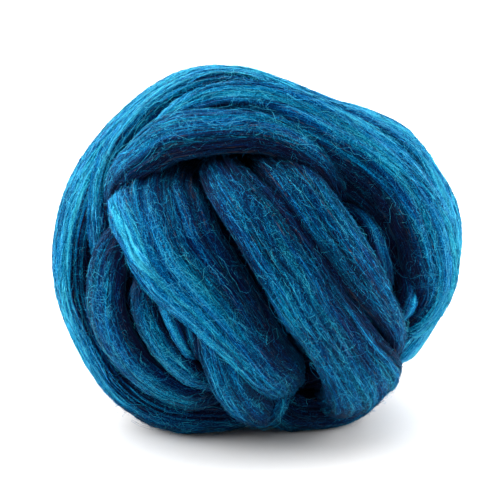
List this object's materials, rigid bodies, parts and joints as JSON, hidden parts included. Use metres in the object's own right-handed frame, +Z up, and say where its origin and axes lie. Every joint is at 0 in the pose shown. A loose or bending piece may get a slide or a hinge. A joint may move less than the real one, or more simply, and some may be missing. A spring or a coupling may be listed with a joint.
{
  "type": "wool roving ball",
  "caption": "Ball wound from one long strand of soft combed wool roving, with broad rounded turns over its face and a small flat spot to rest on.",
  "frame": {"origin": "on the resting plane, under the middle of the ball's box", "axes": "+Z up, +X to the ball's right seen from its face, -Y out of the side that the face looks to"},
  "size_m": [0.1454, 0.1402, 0.1293],
  "materials": {
    "wool": "combed merino wool, fine parallel fibres dyed in a blend of teal, azure and navy blue, soft and slightly silky, with a few loose fibres"
  },
  "bodies": {
    "root": {"roving_ball": "wool"}
  },
  "joints": []
}
